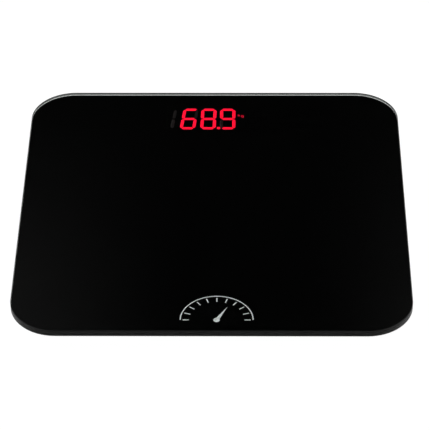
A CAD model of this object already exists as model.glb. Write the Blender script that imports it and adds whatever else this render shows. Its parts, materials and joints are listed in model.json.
"""Digital bathroom scale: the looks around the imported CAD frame. Metres."""

import json
from math import cos, pi, sin

import bmesh
import bpy
from mathutils import Matrix, Vector


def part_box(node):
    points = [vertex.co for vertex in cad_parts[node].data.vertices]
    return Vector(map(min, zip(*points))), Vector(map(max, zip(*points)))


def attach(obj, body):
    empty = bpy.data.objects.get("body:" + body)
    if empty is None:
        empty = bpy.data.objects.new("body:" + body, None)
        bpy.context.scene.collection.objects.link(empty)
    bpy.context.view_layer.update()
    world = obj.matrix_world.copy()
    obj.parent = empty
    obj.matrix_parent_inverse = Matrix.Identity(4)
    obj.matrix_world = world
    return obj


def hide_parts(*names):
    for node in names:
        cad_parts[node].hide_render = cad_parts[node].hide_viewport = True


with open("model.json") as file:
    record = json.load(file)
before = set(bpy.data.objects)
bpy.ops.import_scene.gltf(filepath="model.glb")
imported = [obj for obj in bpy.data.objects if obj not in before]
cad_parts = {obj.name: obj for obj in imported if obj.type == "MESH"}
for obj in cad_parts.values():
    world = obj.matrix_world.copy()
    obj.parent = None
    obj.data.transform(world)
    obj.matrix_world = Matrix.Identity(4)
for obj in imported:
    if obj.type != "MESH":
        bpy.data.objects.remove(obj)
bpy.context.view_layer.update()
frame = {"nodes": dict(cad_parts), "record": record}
nodes = frame["nodes"]
glass_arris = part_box("print_film")[0].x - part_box("glass_platform")[0].x
scene = bpy.context.scene

# Camera: where it stands, how far it turns left, looks down and leans, in radians, and its lens
camera_place = Vector((0.0244, -1.4782, 1.1850))
camera_turn = 0.01557
camera_tilt = 0.66990
camera_roll = -0.00873
camera_lens = 201.1

# Glass: the radius of its corners, the dark band round the top of its ground edge with half the
# height over which it fades, and how far its underside takes in what is printed on it
glass_corner = 0.035
corner_steps = 48
dark_band = 0.0025
band_blend = 0.0003
print_bond = 0.00003

# Display: how wide the small unit sign is, and over what width its glow takes over
unit_sign_width = 0.0052
sign_blend = 0.0002

# Colours used more than once: those of the enamel and the display's mask, and the battery's sleeve
enamel_dark = (0.0015, 0.0016, 0.0015)
enamel_light = (0.0025, 0.0026, 0.0025)
sleeve_blue = (0.035, 0.06, 0.20)
sleeve_silver = (0.75, 0.76, 0.78)

# Light: the floor's half width and brightness, and the sky's brightness towards the left, the right
# and elsewhere
floor_half = 20.0
floor_glow = 1.0
sky_low = 0.004
sky_left = 0.16
sky_right = 0.22


# Node helpers


class Finish:
    """A material that is built around one Principled shader."""

    def __init__(self, name):
        self.name = name
        self.material = bpy.data.materials.new(name)
        self.material.use_nodes = True
        self.tree = self.material.node_tree
        self.shader = self.tree.nodes["Principled BSDF"]
        self.place = self.add("ShaderNodeTexCoord").outputs["Object"]

    def add(self, kind, inputs=None, **settings):
        """Adds a node with these settings and these input values or links."""
        node = self.tree.nodes.new(kind)
        for key, value in settings.items():
            setattr(node, key, value)
        for key, value in (inputs or {}).items():
            self.feed(node.inputs[key], value)
        return node

    def feed(self, socket, value):
        """Links a socket to another node's output, or sets its value."""
        if isinstance(value, bpy.types.NodeSocket):
            self.tree.links.new(value, socket)
        else:
            socket.default_value = value

    def set(self, **values):
        """Sets the shader's own sockets, by names with _ for a space."""
        for key, value in values.items():
            self.feed(self.shader.inputs[key.replace("_", " ")], value)
        return self

    def noise(self, size, detail=2.0, stretch=(1, 1, 1)):
        """A noise from 0 to 1 whose spots are about size across, stretched along the axes."""
        scale = [1 / (size * s) for s in stretch]
        mapped = self.add("ShaderNodeMapping", {"Vector": self.place, "Scale": scale})
        inputs = {"Vector": mapped.outputs[0], "Scale": 1.0, "Detail": detail}
        return self.add("ShaderNodeTexNoise", inputs).outputs[0]

    def cells(self, size):
        """Distance from the middle of cells of about that size."""
        inputs = {"Vector": self.place, "Scale": 1 / size}
        return self.add("ShaderNodeTexVoronoi", inputs).outputs["Distance"]

    def spread(self, value, low, high, start=0.3, end=0.7):
        """Maps a value that runs from start to end to one that runs from low to high."""
        inputs = {"Value": value, "From Min": start, "From Max": end, "To Min": low, "To Max": high}
        return self.add("ShaderNodeMapRange", inputs).outputs[0]

    def ramp(self, value, stops, constant=False):
        """Colours along a value, given as pairs of place and colour."""
        node = self.add("ShaderNodeValToRGB", {"Fac": value})
        ramp = node.color_ramp
        ramp.interpolation = "CONSTANT" if constant else "LINEAR"
        while len(ramp.elements) < len(stops):
            ramp.elements.new(0.5)
        for element, (place, colour) in zip(ramp.elements, stops):
            element.position = place
            element.color = (*colour, 1)
        return node.outputs[0]

    def bump(self, height, depth, under=None):
        """Relief of that depth. under is another relief's normal, which it adds to."""
        inputs = {"Height": height, "Distance": depth, "Strength": 1.0}
        if under is not None:
            inputs["Normal"] = under
        return self.add("ShaderNodeBump", inputs).outputs[0]


def surface(name, dark, light, size, rough, relief, detail=2.0, stretch=(1, 1, 1)):
    """A finish whose colour, gloss and relief vary over spots of one size, for most of the parts."""
    finish = Finish(name)
    broad = finish.noise(size * 12, 3.0)
    fine = finish.noise(size, detail, stretch)
    finish.set(
        Base_Color=finish.ramp(broad, [(0.3, dark), (0.7, light)]),
        Roughness=finish.spread(broad, *rough),
        Normal=finish.bump(fine, relief),
    )
    return finish


# Finishes, one for each of the record's material slots


def tempered_glass():
    """Clear float glass with a trace of green."""
    finish = Finish("tempered_glass")
    return finish.set(
        Base_Color=(0.96, 0.99, 0.975, 1), Roughness=0.0, IOR=1.52, Transmission_Weight=1.0
    )


def ground_glass():
    """The glass's edge: ground to a fine frost, darker under its upper arris and at its foot."""
    finish = Finish("ground_glass")
    frost = finish.noise(0.0004, 3.0)
    height = finish.add("ShaderNodeSeparateXYZ", {"Vector": finish.place}).outputs["Z"]
    low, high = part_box("glass_platform")
    share = finish.spread(height, 0.0, 1.0, low.z, high.z)
    rise = glass_arris / (high.z - low.z)
    band = 1 - dark_band / (high.z - low.z)
    blend = band_blend / (high.z - low.z)
    bright = (0.95, 1.0, 0.97)
    dim = (0.008, 0.01, 0.009)
    return finish.set(
        Base_Color=finish.ramp(
            share,
            [(0.4 * rise, dim), (0.5 * rise, bright), (band - blend, bright), (band + blend, dim)],
        ),
        Roughness=0.5,
        IOR=1.52,
        Transmission_Weight=1.0,
        Specular_Tint=(0.08, 0.08, 0.08, 1),
        Normal=finish.bump(frost, 0.00001),
    )


def black_print():
    """Screen-printed enamel, in two coats whose mesh marks just show from below."""
    finish = Finish("black_print")
    weave = finish.noise(0.0006, 1.0, (1, 8, 1))
    broad = finish.noise(0.02, 3.0)
    return finish.set(
        Base_Color=finish.ramp(broad, [(0.3, enamel_dark), (0.7, enamel_light)]),
        Roughness=finish.spread(broad, 0.5, 0.62),
        Specular_IOR_Level=0.0,
        Normal=finish.bump(weave, 0.00001),
    )


def silver_print():
    """Silver ink: fine metal flakes in lacquer."""
    finish = Finish("silver_print")
    flakes = finish.noise(0.0003, 2.0)
    return finish.set(
        Base_Color=finish.ramp(flakes, [(0.3, (0.62, 0.64, 0.64)), (0.7, (0.86, 0.88, 0.88))]),
        Metallic=0.2,
        Roughness=finish.spread(flakes, 0.38, 0.5),
        Emission_Color=(0.62, 0.65, 0.65, 1),
        Emission_Strength=0.35,
    )


def display_black():
    """The display's mask, matched to the print beside it so that the window doesn't show."""
    finish = Finish("display_black")
    broad = finish.noise(0.01, 3.0)
    return finish.set(
        Base_Color=finish.ramp(broad, [(0.3, enamel_dark), (0.7, enamel_light)]),
        Roughness=finish.spread(broad, 0.6, 0.7),
        Specular_IOR_Level=0.0,
    )


def lit_red():
    """A diffusing lens with a red diode behind it; the small unit sign has a weaker one."""
    finish = Finish("lit_red")
    cloud = finish.noise(0.0025, 1.0)
    along = finish.add("ShaderNodeSeparateXYZ", {"Vector": finish.place}).outputs["X"]
    sign_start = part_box("lit_segments")[1].x - unit_sign_width
    dim = finish.spread(along, 0.0, 1.0, sign_start, sign_start + sign_blend)
    bright = finish.ramp(cloud, [(0.3, (0.92, 0.0, 0.024)), (0.7, (1.0, 0.001, 0.034))])
    weak = (0.42, 0.0, 0.018, 1)
    glow = finish.add("ShaderNodeMix", {"Factor": dim}, data_type="RGBA")
    finish.feed(glow.inputs[6], bright)
    finish.feed(glow.inputs[7], weak)
    return finish.set(
        Base_Color=finish.ramp(cloud, [(0.3, (0.5, 0.0, 0.015)), (0.7, (0.6, 0.0, 0.02))]),
        Roughness=0.5,
        Emission_Color=glow.outputs[2],
        Emission_Strength=1.1,
    )


def dark_red():
    """The same lens unlit, behind smoked ink."""
    return surface("dark_red", (0.004, 0.001, 0.001), (0.007, 0.002, 0.002), 0.0005, (0.5, 0.6), 0.000005)


def led_die():
    """A diode's clear resin over its pale cup."""
    finish = Finish("led_die")
    spots = finish.cells(0.0006)
    return finish.set(
        Base_Color=finish.ramp(spots, [(0.2, (0.95, 0.75, 0.35)), (0.5, (0.85, 0.82, 0.72))]),
        Roughness=finish.spread(spots, 0.12, 0.3),
        Coat_Weight=0.6,
    )


def circuit_board():
    """Green solder mask over copper tracks."""
    finish = Finish("circuit_board")
    inputs = {"Vector": finish.place, "Scale": 420.0}
    voronoi = finish.add("ShaderNodeTexVoronoi", inputs, distance="MANHATTAN", feature="F2")
    tracks = voronoi.outputs["Distance"]
    bare = (0.010, 0.10, 0.035)
    over_track = (0.03, 0.22, 0.08)
    return finish.set(
        Base_Color=finish.ramp(
            tracks, [(0.42, bare), (0.46, over_track), (0.54, over_track), (0.58, bare)]
        ),
        Roughness=finish.spread(finish.noise(0.004), 0.28, 0.4),
        Normal=finish.bump(tracks, 0.00002),
        Coat_Weight=0.3,
    )


def moulded_black():
    """Black ABS from a spark-eroded mould: a fine even texture with flow marks under it."""
    finish = Finish("housing_black")
    broad = finish.noise(0.03, 3.0)
    grain = finish.noise(0.00045, 3.0)
    flow = finish.bump(finish.noise(0.012, 2.0), 0.00002)
    return finish.set(
        Base_Color=finish.ramp(broad, [(0.3, (0.020, 0.020, 0.021)), (0.7, (0.030, 0.030, 0.032))]),
        Roughness=finish.spread(broad, 0.48, 0.62),
        Normal=finish.bump(grain, 0.00004, flow),
    )


def moulded_grey():
    """The button's grey ABS, polished by fingers."""
    return surface("button_grey", (0.30, 0.30, 0.31), (0.40, 0.40, 0.41), 0.0005, (0.35, 0.5), 0.00001)


def foam():
    """Black closed-cell foam tape."""
    finish = Finish("foam")
    pores = finish.cells(0.0005)
    return finish.set(
        Base_Color=finish.ramp(pores, [(0.0, (0.012, 0.012, 0.012)), (0.5, (0.05, 0.05, 0.05))]),
        Roughness=finish.spread(pores, 0.85, 0.95),
        Normal=finish.bump(pores, 0.0001),
    )


def pad_rubber():
    """A rubber pad with pale dust in its fine pits."""
    finish = Finish("pad_rubber")
    broad = finish.noise(0.006, 4.0)
    pits = finish.cells(0.0007)
    return finish.set(
        Base_Color=finish.ramp(broad, [(0.35, (0.045, 0.045, 0.046)), (0.7, (0.085, 0.084, 0.082))]),
        Roughness=finish.spread(broad, 0.72, 0.9),
        Normal=finish.bump(pits, 0.00003),
        Sheen_Weight=0.15,
        Sheen_Roughness=0.5,
    )


def silicone():
    """White silicone, smeared on by hand."""
    return surface("silicone", (0.78, 0.78, 0.75), (0.90, 0.90, 0.88), 0.0025, (0.3, 0.5), 0.00025).set(
        Subsurface_Weight=0.2, Subsurface_Radius=(0.002, 0.0015, 0.001)
    )


def battery_wrap():
    """A printed sleeve with bare steel past its ends."""
    finish = Finish("battery_wrap")
    low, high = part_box("battery_cell_1")
    half = (high.x - low.x) / 2
    along = finish.add("ShaderNodeSeparateXYZ", {"Vector": finish.place}).outputs["X"]
    middle = (high.x + low.x) / 2
    centred = finish.add("ShaderNodeMath", {0: along, 1: middle}, operation="SUBTRACT").outputs[0]
    away = finish.add("ShaderNodeMath", {0: centred}, operation="ABSOLUTE").outputs[0]
    share = finish.add("ShaderNodeMath", {0: away, 1: half}, operation="DIVIDE").outputs[0]
    bare_steel = (0.72, 0.72, 0.70)
    bands = [(0.0, sleeve_blue), (0.55, sleeve_silver), (0.60, sleeve_blue), (0.94, bare_steel)]
    scratch = finish.noise(0.0008, 2.0, (12, 1, 1))
    return finish.set(
        Base_Color=finish.ramp(share, bands, constant=True),
        Metallic=finish.spread(share, 0.35, 1.0, 0.93, 0.94),
        Roughness=finish.spread(scratch, 0.25, 0.4),
    )


def label_white():
    """Matt polyester label stock, left blank."""
    return surface("label_white", (0.80, 0.80, 0.79), (0.88, 0.88, 0.87), 0.0009, (0.55, 0.65), 0.00001)


def steel(name, colour, size, rough, stretch):
    """A plated steel, with the streaks of its rolling or turning."""
    finish = Finish(name)
    streaks = finish.noise(size, 3.0, stretch)
    broad = finish.noise(size * 20, 3.0)
    paler = [min(1, 1.25 * c) for c in colour]
    return finish.set(
        Base_Color=finish.ramp(broad, [(0.3, colour), (0.7, paler)]),
        Metallic=1.0,
        Roughness=finish.spread(streaks, *rough),
        Normal=finish.bump(streaks, 0.000004),
    )


finishes = [
    tempered_glass(),
    black_print(),
    silver_print(),
    display_black(),
    surface("display_white", (0.78, 0.78, 0.76), (0.86, 0.86, 0.84), 0.0006, (0.5, 0.6), 0.00001),
    lit_red(),
    dark_red(),
    led_die(),
    circuit_board(),
    surface("chip_black", (0.014, 0.014, 0.015), (0.026, 0.026, 0.027), 0.0003, (0.5, 0.65), 0.00001),
    surface("ceramic", (0.38, 0.30, 0.22), (0.55, 0.45, 0.34), 0.0004, (0.4, 0.6), 0.00001),
    surface("header_white", (0.78, 0.76, 0.70), (0.88, 0.86, 0.80), 0.0006, (0.35, 0.5), 0.00001),
    moulded_black(),
    moulded_grey(),
    foam(),
    pad_rubber(),
    steel("cell_steel", (0.52, 0.51, 0.49), 0.0004, (0.22, 0.38), (14, 1, 1)),
    silicone(),
    surface("wire", (0.55, 0.03, 0.03), (0.68, 0.06, 0.05), 0.0008, (0.3, 0.42), 0.00001),
    battery_wrap(),
    steel("spring_steel", (0.62, 0.62, 0.61), 0.0003, (0.18, 0.3), (1, 1, 6)),
    steel("screw_steel", (0.42, 0.43, 0.45), 0.0003, (0.2, 0.38), (6, 6, 1)),
    label_white(),
]
by_slot = {finish.name: finish.material for finish in finishes}
for part in frame["record"]["subparts"]:
    for material_slot in nodes[part["node"]].material_slots:
        material_slot.material = by_slot[part["material_slot"]]


# Glass platform


def rounded_outline(half_x, half_y, radius):
    """Points round a rectangle with round corners, anticlockwise from the right side."""
    points = []
    for corner, (side_x, side_y) in enumerate(((1, 1), (-1, 1), (-1, -1), (1, -1))):
        middle = Vector((side_x * (half_x - radius), side_y * (half_y - radius)))
        for step in range(corner_steps + 1):
            turn = (corner + step / corner_steps) * pi / 2
            points.append(middle + radius * Vector((cos(turn), sin(turn))))
    return points


def make_glass():
    """The platform: polished faces, a ground wall and an arris along each edge."""
    low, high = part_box("glass_platform")
    half = (high - low) / 2
    levels = (
        (low.z - print_bond, glass_arris),
        (low.z + glass_arris, 0),
        (high.z - glass_arris, 0),
        (high.z, glass_arris),
    )
    mesh = bmesh.new()
    rings = []
    for z, inset in levels:
        outline = rounded_outline(half.x - inset, half.y - inset, glass_corner - inset)
        rings.append([mesh.verts.new((p.x, p.y, z)) for p in outline])
    mesh.faces.new(reversed(rings[0]))
    mesh.faces.new(rings[-1])
    for below, above in zip(rings, rings[1:]):
        for i in range(len(below)):
            j = (i + 1) % len(below)
            face = mesh.faces.new((below[i], below[j], above[j], above[i]))
            face.smooth = True
            face.material_index = 1
    for ring in rings:
        for i in range(len(ring)):
            mesh.edges.get((ring[i - 1], ring[i])).smooth = False
    data = bpy.data.meshes.new("glass_top")
    mesh.to_mesh(data)
    mesh.free()
    glass = bpy.data.objects.new("glass_top", data)
    scene.collection.objects.link(glass)
    data.materials.append(by_slot["tempered_glass"])
    data.materials.append(ground_glass().material)
    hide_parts("glass_platform")
    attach(glass, "platform")


make_glass()


# Studio


def make_floor():
    """A wide pale floor that glows, as a floor lit for a cut-out does."""
    data = bpy.data.meshes.new("floor")
    corners = [(x * floor_half, y * floor_half, 0) for x, y in ((-1, -1), (1, -1), (1, 1), (-1, 1))]
    data.from_pydata(corners, [], [(0, 1, 2, 3)])
    floor = bpy.data.objects.new("floor", data)
    scene.collection.objects.link(floor)
    finish = Finish("studio_floor")
    finish.set(
        Base_Color=(0.05, 0.05, 0.05, 1), Roughness=0.9, Specular_IOR_Level=0.0,
        Emission_Color=(1, 1, 1, 1), Emission_Strength=floor_glow,
    )
    data.materials.append(finish.material)


def make_softbox(name, place, target, size, power):
    """A square area light that faces a target."""
    light = bpy.data.lights.new(name, "AREA")
    light.size = size
    light.energy = power
    lamp = bpy.data.objects.new(name, light)
    scene.collection.objects.link(lamp)
    lamp.location = place
    lamp.rotation_euler = (Vector(target) - Vector(place)).to_track_quat("-Z", "Y").to_euler()


def make_sky():
    """A dark room to mirror, white to look at, with dim panels high on the left and the right."""
    world = bpy.data.worlds.new("studio")
    world.use_nodes = True
    scene.world = world
    tree = world.node_tree
    tree.nodes.clear()

    def add(kind, inputs=None, **settings):
        node = tree.nodes.new(kind)
        for key, value in settings.items():
            setattr(node, key, value)
        for key, value in (inputs or {}).items():
            if isinstance(value, bpy.types.NodeSocket):
                tree.links.new(value, node.inputs[key])
            else:
                node.inputs[key].default_value = value
        return node

    def rise(value, start, end, high):
        inputs = {"Value": value, "From Min": start, "From Max": end, "To Min": 0.0, "To Max": high}
        return add("ShaderNodeMapRange", inputs, interpolation_type="SMOOTHSTEP").outputs[0]

    def join(operation, first, second):
        return add("ShaderNodeMath", {0: first, 1: second}, operation=operation).outputs[0]

    direction = add("ShaderNodeTexCoord").outputs["Generated"]
    axes = add("ShaderNodeSeparateXYZ", {"Vector": direction}).outputs
    left = rise(axes["X"], -0.02, -0.12, sky_left)
    right = rise(axes["X"], 0.02, 0.14, sky_right)
    height = rise(axes["Z"], 0.56, 0.70, 1.0)
    panels = join("MULTIPLY", join("ADD", left, right), height)
    dark = add("ShaderNodeBackground", {"Strength": join("ADD", panels, sky_low)})
    white = add("ShaderNodeBackground", {"Color": (1, 1, 1, 1), "Strength": 1.0})
    seen = add("ShaderNodeLightPath").outputs["Is Camera Ray"]
    mixed = add("ShaderNodeMixShader", {0: seen, 1: dark.outputs[0], 2: white.outputs[0]})
    add("ShaderNodeOutputWorld", {"Surface": mixed.outputs[0]})


def make_camera():
    """The camera, on its place and turned by its three angles."""
    data = bpy.data.cameras.new("camera")
    data.lens = camera_lens
    data.clip_end = 100.0
    camera = bpy.data.objects.new("camera", data)
    scene.collection.objects.link(camera)
    turn = Matrix.Rotation(camera_turn, 4, "Z")
    tilt = Matrix.Rotation(pi / 2 - camera_tilt, 4, "X")
    roll = Matrix.Rotation(camera_roll, 4, "Z")
    camera.matrix_world = Matrix.Translation(camera_place) @ turn @ tilt @ roll
    scene.camera = camera


make_floor()
make_softbox("key", (-0.9, -0.3, 2.0), (0, 0, 0), 1.2, 30.0)
make_softbox("fill", (1.2, -0.1, 1.6), (0, 0, 0), 0.9, 12.0)
make_sky()
make_camera()
scene.view_settings.view_transform = "Standard"
